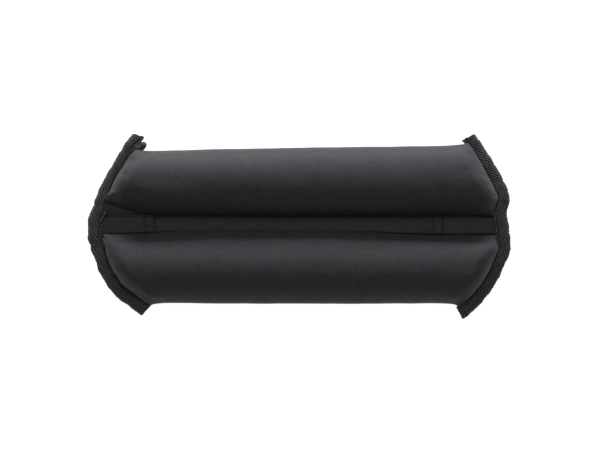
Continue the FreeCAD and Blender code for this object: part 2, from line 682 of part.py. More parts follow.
def build_ends():
    """The lengths beyond the outer bend lines. The left end mirrors the right, but for the strap."""
    left_copy(tube_covers_end("tube_covers_right_end"), "tube_covers_left_end")
    left_copy(sand_bags_end("sand_bags_right_end"), "sand_bags_left_end")
    left_copy(iron_sand_end("iron_sand_right_end"), "iron_sand_left_end")
    left_copy(centre_band_end("centre_band_right_end"), "centre_band_left_end")
    left_copy(end_binding("end_binding_right"), "end_binding_left")
    left_copy(binding_stitches("binding_stitches_right"), "binding_stitches_left")
    band_run = size(f"{TONGUE_X} - {OUTER_BEND_X}")
    right_run = size(f"{FOLD_X} - {OUTER_BEND_X}")
    left_run = size(f"{TAB_START_X} - StrapFit - {OUTER_BEND_X}")
    left_start = size(f"-{OUTER_BEND_X} - {left_run}")
    strap("strap_right_end", OUTER_BEND_X, right_run)
    strap("strap_left_end", left_start, left_run)
    seam_stitches("seam_stitches_right_end", OUTER_BEND_X, band_run, OUTER_BEND_X, right_run)
    seam_stitches("seam_stitches_left_end", size(f"-{OUTER_BEND_X} - {band_run}"), band_run,
                  left_start, left_run)
    cross_stitches("cross_stitches_right", "1", TAIL_BAR_X, STRAP_Z)
    cross_stitches("cross_stitches_left", "-1", TAB_BAR_X, TAB_LOWER_Z)


def build_strap_ends():
    strap_fold("strap_fold")
    strap_tail("strap_tail")
    tail_tip("tail_tip")
    hook_patch("hook_patch")
    ring("ring")
    ring_tab("ring_tab")


def check():
    """Stops if an object failed, or a piece has no sound solid."""
    doc.recompute()
    failed = [o.Label for o in doc.Objects if "Invalid" in o.State or "Error" in o.State]
    if failed:
        raise RuntimeError(f"these objects failed: {failed}")
    for name, maker in MAKERS.items():
        shape = maker.Shape
        if shape.isNull() or not shape.isValid() or not shape.Solids or shape.Volume <= 0:
            raise RuntimeError(f"{name} has no sound solid")


build_spans()
build_ends()
build_strap_ends()
check()
os.makedirs("parts", exist_ok=True)
for name, maker in MAKERS.items():
    maker.Shape.exportStep(os.path.join("parts", f"{name}.step"))
print(len(MAKERS), "nodes")
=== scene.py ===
import json
import math

import bpy
import numpy as np
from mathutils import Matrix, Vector


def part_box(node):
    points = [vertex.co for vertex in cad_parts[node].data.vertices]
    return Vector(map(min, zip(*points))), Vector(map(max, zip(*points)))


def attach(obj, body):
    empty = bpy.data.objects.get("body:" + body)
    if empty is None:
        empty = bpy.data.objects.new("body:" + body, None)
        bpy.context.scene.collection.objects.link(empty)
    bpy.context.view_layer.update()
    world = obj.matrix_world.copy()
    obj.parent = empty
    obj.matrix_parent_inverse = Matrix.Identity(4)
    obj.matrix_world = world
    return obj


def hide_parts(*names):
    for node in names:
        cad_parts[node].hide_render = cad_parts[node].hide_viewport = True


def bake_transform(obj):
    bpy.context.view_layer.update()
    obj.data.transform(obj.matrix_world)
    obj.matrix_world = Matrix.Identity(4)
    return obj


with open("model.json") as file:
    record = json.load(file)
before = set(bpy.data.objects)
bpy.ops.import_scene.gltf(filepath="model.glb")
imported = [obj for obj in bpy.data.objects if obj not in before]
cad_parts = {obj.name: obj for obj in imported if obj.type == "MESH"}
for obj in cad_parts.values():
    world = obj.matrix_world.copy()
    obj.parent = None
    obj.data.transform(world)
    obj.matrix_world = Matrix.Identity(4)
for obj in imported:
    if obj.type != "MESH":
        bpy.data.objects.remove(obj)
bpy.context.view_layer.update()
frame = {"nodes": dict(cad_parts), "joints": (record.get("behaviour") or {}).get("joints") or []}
mm = 0.001
print("frame loaded")

# Where the cuff bends, and the middle of each straight length beside a bend
joints = {joint["name"]: joint for joint in frame["joints"]}
innerBend = joints["bend_right_inner"]["pos_m"][0] / mm
outerBend = joints["bend_right_outer"]["pos_m"][0] / mm
halfBend = (outerBend - innerBend) / 2
splitX = innerBend + halfBend

bendSpans = {
    "endLeft": ("left_end", "left_mid", -outerBend - halfBend, -splitX),
    "left": ("left_mid", "centre", -splitX, 0.0),
    "right": ("centre", "right_mid", 0.0, splitX),
    "endRight": ("right_mid", "right_end", splitX, outerBend + halfBend),
}


def nodeBox(node):  # a CAD node's corners in millimetres
    low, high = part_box(node)
    return np.array(low) / mm, np.array(high) / mm


flatBend = 8.0  # the stretch either side of a span's middle that bendWith works out for flat pieces; nothing is bent with it


def placed(name, data):  # an object in the scene for a mesh, a light or a camera
    piece = bpy.data.objects.new(name, data)
    bpy.context.scene.collection.objects.link(piece)
    return piece


def meshOf(name, points, edges, faces):  # points in millimetres
    mesh = bpy.data.meshes.new(name)
    mesh.from_pydata((np.asarray(points) * mm).tolist(), edges, faces)
    return mesh


def bendWith(piece, span, flat=False):
    bodyA, bodyB, start, end = bendSpans[span]
    if flat:
        middle = (start + end) / 2
        start, end = middle - flatBend, middle + flatBend
    start * mm
    end * mm
    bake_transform(piece)


class Field:  # a socket that can be used in an expression
    def __init__(self, tree, socket):
        self.tree = tree
        self.socket = socket

    def combine(self, operation, first, second=None):
        values = {0: first}
        if second is not None:
            values[1] = second
        return self.tree.add("ShaderNodeMath", {"operation": operation}, values)

    def __add__(self, other):
        return self.combine("ADD", self, other)

    def __sub__(self, other):
        return self.combine("SUBTRACT", self, other)

    def __rsub__(self, other):
        return self.combine("SUBTRACT", other, self)

    def __mul__(self, other):
        return self.combine("MULTIPLY", self, other)

    def sin(self):
        return self.combine("SINE", self)

    def fract(self):
        return self.combine("FRACT", self)

    def abs(self):
        return self.combine("ABSOLUTE", self)


class NodeMaker:  # adds nodes to a tree and plugs numbers or other nodes' outputs into them
    def __init__(self, tree):
        self.nodes = tree.nodes
        self.links = tree.links

    def plug(self, node, key, value):
        socket = node.inputs[key]
        if isinstance(value, Field):
            self.links.new(value.socket, socket)
        else:
            socket.default_value = value

    def add(self, kind, settings=None, values=None, output=0):
        node = self.nodes.new(kind)
        for key, value in (settings or {}).items():
            if key == "stops":
                for element, (position, shade) in zip(node.color_ramp.elements, value):
                    element.position = position
                    element.color = (*shade, 1)
            else:
                setattr(node, key, value)
        for key, value in (values or {}).items():
            self.plug(node, key, value)
        return Field(self, node.outputs[output])


class Cloth(NodeMaker):  # one material
    def __init__(self, name):
        self.material = bpy.data.materials.new(name)
        self.material.use_nodes = True
        super().__init__(self.material.node_tree)
        self.shader = self.nodes["Principled BSDF"]

    def weaveAxes(self):  # metres along and across the cloth
        uv = self.add("ShaderNodeUVMap", {"uv_map": "weave"})
        split = self.add("ShaderNodeSeparateXYZ", None, {0: uv})
        return split, Field(self, split.socket.node.outputs[1])

    def noise(self, scale, detail=3.0, roughness=0.5, vector=None):
        place = vector or self.add("ShaderNodeTexCoord", output=3)
        values = {"Vector": place, "Scale": scale, "Detail": detail, "Roughness": roughness}
        return self.add("ShaderNodeTexNoise", None, values)

    def mixColour(self, share, first, second):
        settings = {"data_type": "RGBA"}
        return self.add("ShaderNodeMix", settings, {0: share, 6: first, 7: second}, output=2)

    def ramp(self, value, low, high):
        settings = {"stops": [(low, (0, 0, 0)), (high, (1, 1, 1))]}
        return self.add("ShaderNodeValToRGB", settings, {0: value})

    def bump(self, height, distance, strength=1.0, normal=None):
        values = {"Height": height, "Distance": distance, "Strength": strength}
        if normal:
            values["Normal"] = normal
        return self.add("ShaderNodeBump", None, values)

    def finish(self, **values):
        for key, value in values.items():
            self.plug(self.shader, key.replace("_", " "), value)
        return self.material


class Rule(NodeMaker):  # one Geometry Nodes tree, which sets copies of a small shape on points
    def __init__(self, name, inputs):
        self.tree = bpy.data.node_groups.new(name, "GeometryNodeTree")
        face = self.tree.interface
        for key, kind in inputs.items():
            face.new_socket(key, in_out="INPUT", socket_type="NodeSocket" + kind)
        face.new_socket("Geometry", in_out="OUTPUT", socket_type="NodeSocketGeometry")
        super().__init__(self.tree)
        self.source = self.nodes.new("NodeGroupInput")

    def given(self, key):
        return Field(self, self.source.outputs[key])

    def finish(self, shape, material, smooth):
        shape = self.add("GeometryNodeRealizeInstances", None, {"Geometry": shape})
        if smooth:
            shape = self.add("GeometryNodeSetShadeSmooth", None, {"Geometry": shape})
        shape = self.add("GeometryNodeSetMaterial", None, {"Geometry": shape, "Material": material})
        self.plug(self.nodes.new("NodeGroupOutput"), "Geometry", shape)
        return self.tree


def colour(red, green, blue):
    return (red, green, blue, 1)


neopreneLook = {
    "shade": colour(0.0225, 0.0222, 0.0265),
    "fleck": colour(0.044, 0.0435, 0.0505),
    "walePitch": 0.9 * mm,
    "coursePitch": 0.7 * mm,
    "grain": 900.0,
    "blotch": 160.0,
}


def makeNeoprene(name, look):  # smooth knit face: fine interlocked loops, soft fuzz
    cloth = Cloth(name)
    along, around = cloth.weaveAxes()
    wale = (along * (2 * math.pi / look["walePitch"])).sin()
    tilt = (along * (1 / look["walePitch"])).fract() - 0.5
    course = ((around * (1 / look["coursePitch"]) + tilt.abs() * 0.9) * (2 * math.pi)).sin()
    loops = wale * 0.35 + course * 0.65
    grain = cloth.noise(look["grain"], 2.0, 0.6)
    blotch = cloth.noise(look["blotch"], 3.0, 0.6)
    share = cloth.ramp(loops * 0.10 + grain * 0.85 + blotch * 0.25, 0.36, 0.72)
    tint = cloth.mixColour(share, look["shade"], look["fleck"])
    knit = cloth.bump(loops, 0.10 * mm, 0.35)
    soft = cloth.bump(grain, 0.22 * mm, 0.45, knit)
    return cloth.finish(Base_Color=tint, Roughness=cloth.ramp(grain, 0.0, 1.0) * 0.12 + 0.70,
                        Normal=soft, Sheen_Weight=0.08, Sheen_Roughness=0.4,
                        Sheen_Tint=colour(0.80, 0.80, 0.88), Specular_IOR_Level=0.32)


tapeLook = {
    "valley": colour(0.0060, 0.0054, 0.0056),
    "ridge": colour(0.082, 0.073, 0.074),
    "pitch": 2.8 * mm,
    "lean": 1.28,
    "thread": 0.5 * mm,
}


def makeTwill(name, look):  # plain twill: slanted ridges with fine threads across them
    cloth = Cloth(name)
    along, across = cloth.weaveAxes()
    phase = (along + across * look["lean"]) * (2 * math.pi / look["pitch"])
    ridge = phase.sin() * 0.5 + 0.5
    thread = ((across - along * 0.5) * (2 * math.pi / look["thread"])).sin() * 0.5 + 0.5
    fuzz = cloth.noise(1300.0, 3.0, 0.65)
    worn = cloth.noise(140.0, 3.0, 0.6)
    # sewn: painted shade, the tape's colour made darker over its inner 2–3 mm by the stitched edge, where the
    # tube's overhang shades it
    sewn = cloth.ramp(across.abs() * 1000, 9.6, 12.4)
    share = ridge * 0.45 + thread * 0.14 + fuzz * 0.38 + worn * 0.24 - sewn * 0.22
    tint = cloth.mixColour(cloth.ramp(share, 0.22, 0.92), look["valley"], look["ridge"])
    twill = cloth.bump(ridge * 0.8 + thread * 0.2, 0.22 * mm, 0.6)
    soft = cloth.bump(fuzz, 0.15 * mm, 0.4, twill)
    return cloth.finish(Base_Color=tint, Roughness=cloth.ramp(fuzz, 0.0, 1.0) * 0.15 + 0.68,
                        Normal=soft, Sheen_Weight=0.05, Sheen_Roughness=0.5,
                        Specular_IOR_Level=0.25)


webbingLook = {
    "valley": colour(0.006, 0.006, 0.0065),
    "ridge": colour(0.028, 0.027, 0.029),
    "weft": 1.30 * mm,
    "warp": 1.05 * mm,
}


def makeWebbing(name, look):  # flat woven webbing: basket of warp threads over weft ribs
    cloth = Cloth(name)
    along, across = cloth.weaveAxes()
    warp = (across * (2 * math.pi / look["warp"])).sin()
    offset = (across * (0.5 / look["warp"])).fract()
    weft = ((along * (1 / look["weft"]) + offset) * (2 * math.pi)).sin()
    basket = (warp.abs() * 0.45 + (weft * 0.5 + 0.5) * 0.55)
    fuzz = cloth.noise(1600.0, 3.0, 0.6)
    share = cloth.ramp(basket * 0.75 + fuzz * 0.3, 0.25, 0.95)
    tint = cloth.mixColour(share, look["valley"], look["ridge"])
    weave = cloth.bump(basket, 0.25 * mm, 0.7)
    soft = cloth.bump(fuzz, 0.10 * mm, 0.35, weave)
    return cloth.finish(Base_Color=tint, Roughness=cloth.ramp(fuzz, 0.0, 1.0) * 0.15 + 0.5,
                        Normal=soft, Specular_IOR_Level=0.4)


def makeThread(name, dark, light):  # twisted polyester
    cloth = Cloth(name)
    fuzz = cloth.noise(2600.0, 2.0, 0.6)
    tint = cloth.mixColour(cloth.ramp(fuzz, 0.3, 0.75), dark, light)
    soft = cloth.bump(fuzz, 0.08 * mm, 0.5)
    return cloth.finish(Base_Color=tint, Roughness=0.5, Normal=soft, Specular_IOR_Level=0.45)


def makeSteel(name):  # nickel-plated wire with drawing marks
    cloth = Cloth(name)
    scratch = cloth.noise(700.0, 4.0, 0.7)
    smudge = cloth.noise(90.0, 2.0, 0.5)
    rough = cloth.ramp(smudge, 0.3, 0.8) * 0.16 + 0.16
    mark = cloth.bump(scratch, 0.03 * mm, 0.4)
    tint = cloth.mixColour(smudge, colour(0.50, 0.50, 0.51), colour(0.64, 0.64, 0.65))
    return cloth.finish(Base_Color=tint, Metallic=1.0, Roughness=rough, Normal=mark)


def makeHook(name):  # moulded nylon hooks
    cloth = Cloth(name)
    fuzz = cloth.noise(1200.0, 2.0, 0.5)
    tint = cloth.mixColour(fuzz, colour(0.008, 0.008, 0.009), colour(0.03, 0.03, 0.032))
    return cloth.finish(Base_Color=tint, Roughness=cloth.ramp(fuzz, 0.0, 1.0) * 0.2 + 0.38,
                        Specular_IOR_Level=0.5)


neoprene = makeNeoprene("neoprene", neopreneLook)
twillTape = makeTwill("twillTape", tapeLook)
webbing = makeWebbing("webbing", webbingLook)
darkThread = makeThread("darkThread", colour(0.004, 0.004, 0.005), colour(0.016, 0.016, 0.018))
tapeThread = makeThread("tapeThread", colour(0.008, 0.008, 0.009), colour(0.030, 0.029, 0.031))
steelWire = makeSteel("steelWire")
hookNylon = makeHook("hookNylon")
print("materials made")


def smoothStep(low, high, value):
    share = np.clip((value - low) / (high - low), 0, 1)
    return share * share * (3 - 2 * share)


def hump(value, middle, spread):
    return np.exp(-((value - middle) / spread) ** 2)


def ripple(seed, value, length):  # a smooth wander between -1 and 1
    source = np.random.default_rng(seed)
    total = np.zeros_like(np.asarray(value, float))
    weights = 0.0
    for octave in (1.0, 1.7, 2.9):
        phase = source.uniform(0, 2 * math.pi)
        total = total + np.sin(value * 2 * math.pi * octave / length + phase) / octave
        weights += 1 / octave
    return total / weights


def arcLengths(rows):  # distance along the first axis of a grid of points
    steps = np.linalg.norm(np.diff(rows, axis=0), axis=-1)
    return np.concatenate([np.zeros_like(steps[:1]), np.cumsum(steps, axis=0)])


def refined(grid, closed):  # twice as many points each way, on a smooth curve through them
    for axis in (0, 1):
        wraps = closed and axis == 1
        rows = np.moveaxis(grid, axis, 0)
        if wraps:
            before, after, far = np.roll(rows, 1, 0), np.roll(rows, -1, 0), np.roll(rows, -2, 0)
            middle = (9 * (rows + after) - before - far) / 16
            mixed = np.stack([rows, middle], 1).reshape(-1, *rows.shape[1:])
        else:
            padded = np.concatenate([2 * rows[:1] - rows[1:2], rows, 2 * rows[-1:] - rows[-2:-1]])
            middle = (9 * (padded[1:-2] + padded[2:-1]) - padded[:-3] - padded[3:]) / 16
            pairs = np.stack([rows[:-1], middle], 1).reshape(-1, *rows.shape[1:])
            mixed = np.concatenate([pairs, rows[-1:]])
        grid = np.moveaxis(mixed, 0, axis)
    return grid


def gridNormals(grid):  # for a grid whose second axis is a closed loop
    along = np.gradient(grid, axis=0)
    around = np.roll(grid, -1, 1) - np.roll(grid, 1, 1)
    normal = np.cross(around, along)
    length = np.linalg.norm(normal, axis=-1, keepdims=True)
    normal = normal / np.maximum(length, 1e-9)
    middle = grid.mean(axis=1, keepdims=True)
    if ((grid - middle) * normal).sum() < 0:
        normal = -normal
    return normal


def quadsOf(grid, normals, first):  # faces of a grid of closed loops, and whether they face outwards
    rows, around = grid.shape[:2]
    index = first + np.arange(rows * around).reshape(rows, around)
    after = np.roll(index, -1, 1)
    quads = np.stack([index[:-1], after[:-1], after[1:], index[1:]], axis=-1).reshape(-1, 4)
    a, b, c = (grid.reshape(-1, 3)[quads[:, k] - first] for k in (0, 1, 2))
    facing = (np.cross(b - a, c - a) * normals.reshape(-1, 3)[quads[:, 0] - first]).sum()
    return quads, index, facing >= 0


def weaveOf(grid):  # distances along and round a grid of closed loops
    along = arcLengths(grid)
    closed = np.concatenate([grid, grid[:, :1]], axis=1)
    across = np.moveaxis(arcLengths(np.moveaxis(closed, 1, 0)), 0, 1)
    along = np.concatenate([along, along[:, :1]], axis=1)
    return np.stack([along, across], axis=-1)


def lineAt(x, y, z):  # points on a straight line, along or across the cuff
    return np.stack(np.broadcast_arrays(x, y, z), axis=1)


def slab(x, y, top, bottom):  # the loop of a flat piece's cross-section
    return np.concatenate([lineAt(x, y, top), lineAt(x, y, bottom)[::-1]])


class Shell:  # collects closed tubes of points into one mesh, in millimetres
    def __init__(self):
        self.points = []
        self.faces = []
        self.weave = []
        self.normals = []
        self.count = 0

    def tube(self, grid, normals=None, weave=None):  # rows by loop points, with flat ends
        normals = gridNormals(grid) if normals is None else normals
        weave = weaveOf(grid) if weave is None else weave
        first = self.count
        quads, index, outside = quadsOf(grid, normals, first)
        corners = np.stack([weave[:-1, :-1], weave[:-1, 1:], weave[1:, 1:], weave[1:, :-1]], axis=2)
        corners = corners.reshape(-1, 4, 2)
        if not outside:
            quads = quads[:, ::-1]
            corners = corners[:, ::-1]
        self.faces.extend(quads.tolist())
        self.weave.extend(corners.reshape(-1, 2).tolist())
        self.normals.extend(normals.reshape(-1, 3)[quads - first].reshape(-1, 3).tolist())
        self.points.append(grid.reshape(-1, 3))
        self.count += index.size
        self.lid(grid[0], index[0], grid[0].mean(0) - grid[1].mean(0), weave[0])
        self.lid(grid[-1], index[-1], grid[-1].mean(0) - grid[-2].mean(0), weave[-1])

    def lid(self, loop, index, outward, weave):
        centre = self.count
        self.points.append(loop.mean(0)[None])
        self.count += 1
        outward = outward / max(np.linalg.norm(outward), 1e-9)
        around = len(index)
        area = np.cross(loop - loop.mean(0), np.roll(loop, -1, 0) - loop.mean(0)).sum(0)
        forward = (area * outward).sum() > 0
        for k in range(around):
            pair = (index[k], index[(k + 1) % around])
            first, second = pair if forward else pair[::-1]
            self.faces.append([int(centre), int(first), int(second)])
            self.weave.extend([weave[0].tolist(), weave[k].tolist(), weave[k].tolist()])
            self.normals.extend([outward.tolist()] * 3)

    def build(self, name, material):
        mesh = meshOf(name, np.concatenate(self.points), [], self.faces)
        layer = mesh.uv_layers.new(name="weave")
        layer.data.foreach_set("uv", (np.array(self.weave, np.float32) * mm).ravel())
        mesh.materials.append(material)
        mesh.polygons.foreach_set("use_smooth", [True] * len(mesh.polygons))
        mesh.update()
        mesh.normals_split_custom_set(self.normals)
        return placed(name, mesh)


tape = {
    "depth": 10.4,
    "kink": 18.0,  # the end runs straight across up to here, then slants to its corners
    "cornerShare": 0.858,  # of the depth, from the tape's lowest x to its outer corner
    "step": 0.42,
    "legTurn": 2.9,  # radius of the fold
    "legPoints": 27,
    "foldPoints": 20,
    "wall": 0.9,
    "crown": 0.55,  # how far each leg stands up along its middle
    "stitchPull": 0.75,
    "edgeRoll": 0.65,
    "strapRoom": (11, 15),  # the under leg lies flat up to here, where the strap passes
    "cutLength": 5.0,  # how far in from a cut end its slant and curl reach
    "ribHeight": 0.17,
    "ribPitch": 2.8,
    "ribLean": 1.28,
    "stitchInset": 1.9,
    "endLean": {(-1, 1): 0.36, (-1, -1): 0.1, (1, 1): 0.12, (1, -1): -0.15},  # slant of the cut ends
    # how far the soft end stands out from its cut shape, by height across the cuff
    "settleRight": [(-68, -4), (-63, -0.5), (-58, 1.5), (-50, 3.5), (-40, 4), (-24, 1.5), (-14, 0), (-8, 0),
                    (0, -1), (8, -2.5), (14, -2), (21, 1.5), (29, 4), (40, 5), (52, 5), (68, 4)],
    "settleLeft": [(-66, -10.5), (-60, -6.5), (-54, -1.5), (-50, 0.5), (-41, 1.5), (-32, 1), (-23, -2),
                   (-15, -2), (-10, 0), (3, 0), (9, -1), (16, -5), (26, -3), (34, -2), (60, -1.5), (69, -3)],
}

tapeLow, tapeHigh = nodeBox("end_binding_right")
endX, cornerY = tapeHigh[0], tapeHigh[1]
cornerX = tapeLow[0] + tape["depth"] * tape["cornerShare"]
tapeMidZ = (tapeLow[2] + tapeHigh[2]) / 2
halfTapeZ = (tapeHigh[2] - tapeLow[2]) / 2


def eased(values, width):  # a moving average that keeps the ends in place
    kernel = np.hanning(width)
    padded = np.pad(values, width // 2, mode="reflect", reflect_type="odd")
    return np.convolve(padded, kernel / kernel.sum(), "valid")


def endOutline(side):  # points along the tape's fold, from the lower corner to the upper
    table = np.array(tape["settleRight" if side > 0 else "settleLeft"])
    y = np.linspace(table[0, 0], table[-1, 0], 900)
    slope = (endX - cornerX) / (cornerY - tape["kink"])
    cut = endX - np.maximum(np.abs(y) - tape["kink"], 0) * slope
    x = eased(cut + np.interp(y, table[:, 0], table[:, 1]), 41)
    path = np.stack([side * x, y], axis=1)
    distance = arcLengths(path)
    stations = np.linspace(0, distance[-1], int(distance[-1] / tape["step"]))
    return np.stack([np.interp(stations, distance, path[:, k]) for k in (0, 1)], axis=1)


def tangents(path):
    tangent = np.gradient(path, axis=0)
    return tangent / np.linalg.norm(tangent, axis=1, keepdims=True)


def inward(path, side):  # unit vectors from the fold into the cuff
    tangent = tangents(path)
    normal = np.stack([tangent[:, 1], -tangent[:, 0]], axis=1)
    return normal * np.sign(-side * normal[len(normal) // 2, 0])


def slimming(side, y):  # where the tape shows narrower than its full depth
    return 2.3 * (side < 0) * smoothStep(20, 38, y)


outlines = {}
for side in (-1, 1):
    path = endOutline(side)
    outlines[side] = (path, inward(path, side))


def innerEdge(side, y, inset, ease=0):  # x of a line inside the tape's fold, eased over kinks
    path, normal = outlines[side]
    edge = path + normal * (inset - slimming(side, path[:, 1]))[:, None]
    edge = edge[np.argsort(edge[:, 1])]
    x = eased(edge[:, 0], 2 * ease + 1) if ease else edge[:, 0]
    return np.interp(y, edge[:, 1], x)


def tubeEdge(end, y):  # where a filled tube ends, leaning over the tape away from the band
    lap = tubes["overhang"][end] * smoothStep(8, 21, np.abs(y))
    return innerEdge(end, y, tape["depth"], ease=24) + end * lap


tubes = {
    "around": 68,
    "straightRows": 58,
    "endRows": 26,
    "power": 0.95,  # under 1, squarer than an ellipse
    "bandShift": 0.35,
    "seamHalf": 7.15,
    "bulge": {1: 0.2, -1: 4.3},  # how far each tube leans over the band, mid-length
    "groove": 2.2,  # depth of the crease beside the lower tube
    "room": 1.5,  # how far the flanks stand back from the folded strap
    "roomHeight": (11, 4.0),
    "leanHeight": (27, 8.0),  # where on the flank it leans, and over what height
    "tilt": 1.9,  # the upper tube's outer side spreads towards the right end
    "gusset": 10.0,  # how far the upper tube draws back at the left end
    "overhang": {1: 2.2, -1: 1.4},  # tube over the edge of the tape, right and left
    "closing": 14.0,
    "plump": 2.4,
    "flare": 2.4,
    "pucker": 0.45,
    "flangeHalf": 1.9,
}

coverHigh = nodeBox("tube_covers_centre")[1]
bandLow, bandHigh = nodeBox("centre_band_centre")
tubeTop = coverHigh[2]
tubeOuter = coverHigh[1]
bandTop = bandHigh[2]
flangeMid = tapeMidZ


def leaning(x):  # the share of the bulge along the cuff
    return 1 - smoothStep(45, 130, np.abs(x + 25))


def tubeGrid(side):  # one tube from end to end: side is +1 for the upper one
    angle = np.linspace(0, 2 * math.pi, tubes["around"], endpoint=False) + math.pi / tubes["around"]
    c, s = np.cos(angle), np.sin(angle)
    power = tubes["power"]
    c = np.sign(c) * np.abs(c) ** power
    s = np.sign(s) * np.abs(s) ** power
    inner = tubes["seamHalf"] + side * tubes["bandShift"]
    centreY = (tubeOuter + inner) / 2
    halfY = (tubeOuter - inner) / 2
    centreZ = tubeTop / 2
    straight = np.linspace(-outerBend, outerBend, tubes["straightRows"] * 2 + 1)
    share = np.linspace(0, 1, tubes["endRows"] + 1)[1:]
    share = 1 - (1 - share) ** 1.35  # closer rows towards the tape
    rows = [(-1, u) for u in share[::-1]] + [(0, x) for x in straight] + [(1, u) for u in share]
    grid = np.zeros((len(rows), tubes["around"], 3))
    flat = np.zeros((len(rows), tubes["around"]))  # distance to the tape along the cuff
    for r, (end, value) in enumerate(rows):
        y = centreY + halfY * c
        z = centreZ + (centreZ - 0.3) * s
        if end == 0:
            x = np.full_like(y, value)
            distance = np.minimum(tubeEdge(1, side * y) - x, x - tubeEdge(-1, side * y))
        else:
            spread = y + tubes["flare"] * value ** 2 * np.clip((y - centreY) / halfY, -0.15, 1)
            edge = tubeEdge(end, side * spread)
            x = end * outerBend + (edge - end * outerBend) * value
            distance = np.abs(edge - x)
            y = spread
        gap = np.clip(1 - distance / tubes["closing"], 0, 1)
        full = (1 - gap ** tubes["plump"]) ** (1 / tubes["plump"])
        middle = flangeMid + np.sign(s) * tubes["flangeHalf"]
        z = middle + (z - middle) * full
        middleX = x.mean()
        bulge = tubes["bulge"][side] * leaning(middleX)
        high = hump(z, *tubes["leanHeight"]) * smoothStep(0.15, 0.9, -c)
        y = y - bulge * high
        y = y + tubes["room"] * hump(z, *tubes["roomHeight"]) * smoothStep(0.5, 0.9, -c)
        if side > 0:
            y = y + tubes["tilt"] * (middleX / 120) * smoothStep(0, 0.9, c)
            drawn = np.clip((-x - 108) / 32, 0, 1.1) ** 1.5
            y = y + tubes["gusset"] * drawn * smoothStep(0.1, 0.95, -c)
        wave = 0.16 * ripple(11 + side, x + 1.2 * y, 84.0) + 0.10 * ripple(23 + side, x - 0.7 * z, 37.0)
        y = y + wave * c
        z = z + wave * s * full
        grid[r] = np.stack([x, side * y, z], axis=1)
        flat[r] = distance
    return grid, flat, c, s


def restOnFloor(grid):  # the underside settles flat on what it lies on
    z = grid[..., 2]
    lifted = z - 0.9
    grid[..., 2] = 0.35 + (lifted + np.sqrt(lifted ** 2 + 1.6)) / 2
    over = smoothStep(129, 137, grid[..., 0]) * smoothStep(14.5, 11, np.abs(grid[..., 1]))
    grid[..., 2] += np.maximum(14.5 - grid[..., 2], 0) * over  # clear of the strap where it leaves the cuff
    return grid


inflation = {
    "frames": 20,
    "pressure": 6.0,
    "inset": 1.0,
    "cap": 1.6,
    "shrink": 0.004,
    "smoothing": 10,  # the foam rubber is stiff, so only broad swellings stay
}


def inflated(grids, pins):  # cloth filled from inside, sewn down where pins is 1
    points, faces, weights = [], [], []
    for grid, pin in zip(grids, pins):
        normal = gridNormals(grid)
        smaller = grid - normal * (inflation["inset"] * (1 - pin))[..., None]
        quads, index, outside = quadsOf(smaller, normal, len(points))
        points.extend(smaller.reshape(-1, 3))
        weights.extend(pin.ravel().tolist())
        faces.extend((quads if outside else quads[:, ::-1]).tolist())
        for row, forward in ((0, not outside), (-1, outside)):
            loop = index[row].tolist()
            faces.append(loop if forward else loop[::-1])
    mesh = meshOf("inflating", points, [], faces)
    cloth = placed("inflating", mesh)
    group = cloth.vertex_groups.new(name="sewn")
    for k, weight in enumerate(weights):
        if weight > 0.01:
            group.add([k], float(weight), "REPLACE")
    modifier = cloth.modifiers.new("Cloth", "CLOTH")
    settings = modifier.settings
    settings.quality = 6
    settings.mass = 0.35
    settings.tension_stiffness = 18
    settings.compression_stiffness = 18
    settings.shear_stiffness = 8
    settings.bending_stiffness = 30
    settings.air_damping = 2
    settings.use_pressure = True
    settings.uniform_pressure_force = inflation["pressure"]
    settings.vertex_group_mass = "sewn"
    settings.pin_stiffness = 2
    settings.shrink_min = inflation["shrink"]
    settings.effector_weights.gravity = 0
    modifier.collision_settings.use_collision = False
    modifier.point_cache.frame_start = 1
    modifier.point_cache.frame_end = inflation["frames"]
    for frameNumber in range(1, inflation["frames"] + 1):
        bpy.context.scene.frame_set(frameNumber)
    evaluated = cloth.evaluated_get(bpy.context.evaluated_depsgraph_get())
    result = np.array([v.co for v in evaluated.data.vertices], float).reshape(-1, 3) / mm
    bpy.data.objects.remove(cloth)
    bpy.data.meshes.remove(mesh)
    bpy.context.scene.frame_set(1)
    filled, start = [], 0
    for grid in grids:
        count = grid.shape[0] * grid.shape[1]
        moved = result[start:start + count].reshape(grid.shape) - grid
        for _ in range(inflation["smoothing"]):
            ends = np.concatenate([moved[:1], moved, moved[-1:]])
            moved = (ends[:-2] + ends[1:-1] * 2 + ends[2:]) / 4
            moved = (np.roll(moved, 1, 1) + moved * 2 + np.roll(moved, -1, 1)) / 4
        length = np.linalg.norm(moved, axis=-1, keepdims=True)
        filled.append(grid + moved * np.minimum(1, inflation["cap"] / np.maximum(length, 1e-9)))
        start += count
    return filled


crossX = {"left": nodeBox("cross_stitches_left"), "right": nodeBox("cross_stitches_right")}
crossCentres = [(low[0] + high[0]) / 2 for low, high in crossX.values()]

rawTubes = {side: tubeGrid(side) for side in (1, -1)}
sewn = []
for side, (grid, flat, c, s) in rawTubes.items():
    seamLine = np.exp(-((grid[..., 2] - bandTop) / 4.0) ** 2) * (c < -0.6)
    edge = 1 - smoothStep(0.0, 5.0, flat)
    sewn.append(np.clip(np.maximum(seamLine, edge), 0, 1))
filledTubes = inflated([rawTubes[1][0], rawTubes[-1][0]], sewn)
print("tubes inflated")


